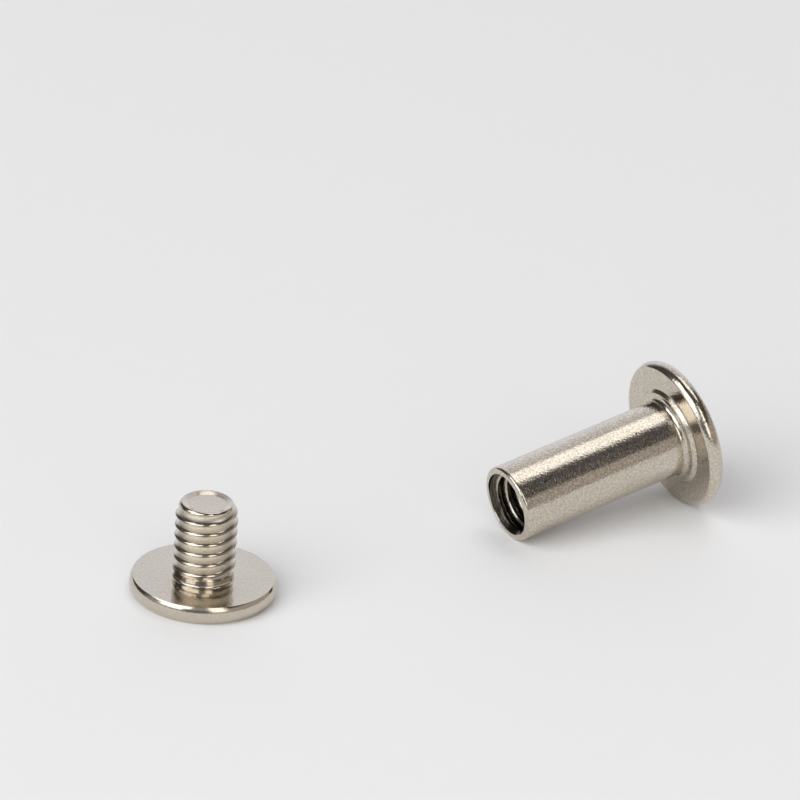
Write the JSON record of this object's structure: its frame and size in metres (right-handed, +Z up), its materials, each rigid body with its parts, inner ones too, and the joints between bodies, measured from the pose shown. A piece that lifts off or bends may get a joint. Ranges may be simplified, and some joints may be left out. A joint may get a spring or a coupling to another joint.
{
  "type": "binding barrel screw",
  "caption": "Headed tube with a tapped blind bore, lying beside the headed screw that closes it, for binding sheets through punched holes.",
  "frame": {"origin": "middle of the pair's footprint, on the surface that both pieces rest on", "axes": "+X from the screw towards the barrel's head, below the barrel's tilted axis; +Z up, along the standing screw's thread"},
  "size_m": [0.0392, 0.0112, 0.0095],
  "materials": {
    "nickel_barrel": "polished",
    "nickel_screw": "polished"
  },
  "bodies": {
    "root": {"barrel": "nickel_barrel", "screw": "nickel_screw"}
  },
  "joints": []
}
